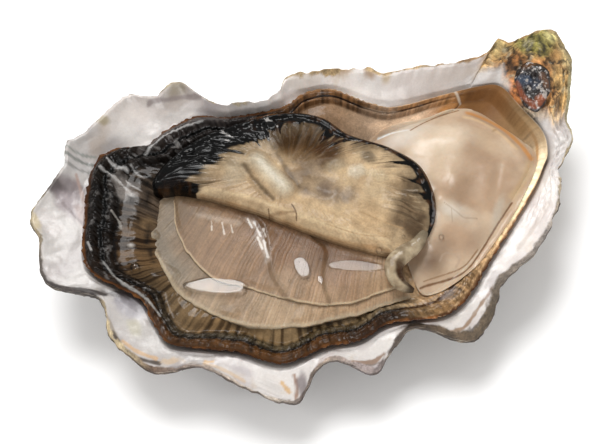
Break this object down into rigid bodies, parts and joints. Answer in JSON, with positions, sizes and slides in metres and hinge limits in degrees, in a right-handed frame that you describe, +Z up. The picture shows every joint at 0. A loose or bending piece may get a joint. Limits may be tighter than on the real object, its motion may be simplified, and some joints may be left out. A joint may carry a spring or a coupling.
{
  "type": "oyster on the half shell",
  "caption": "Raw cupped oyster open on its lower shell: lobed pearly rim, dark frilled mantle edge, fanned gills, folded upper mantle and a pale soft body beside the hinge; rests on its belly.",
  "frame": {"origin": "middle of the model's box on the surface that it rests on", "axes": "+X towards the hinge, along the shell; +Y towards the high far wall; +Z up, out of the cup"},
  "size_m": [0.1112, 0.0673, 0.0258],
  "materials": {
    "nacre": "pearly inside, chalky and layered outside",
    "ligament": "horny, glossy, near black",
    "mantle": "wet flesh, black to brown, striped",
    "gill": "wet flesh, beige, finely ribbed",
    "body": "wet flesh, cream",
    "flap": "wet flesh, cream with a black edge"
  },
  "bodies": {
    "root": {"shell": "nacre", "hinge_ligament": "ligament", "mantle_lower": "mantle", "gill_leaf_lower": "gill", "gill_leaf_upper": "gill", "body": "body", "mantle_upper": "flap"}
  },
  "joints": []
}
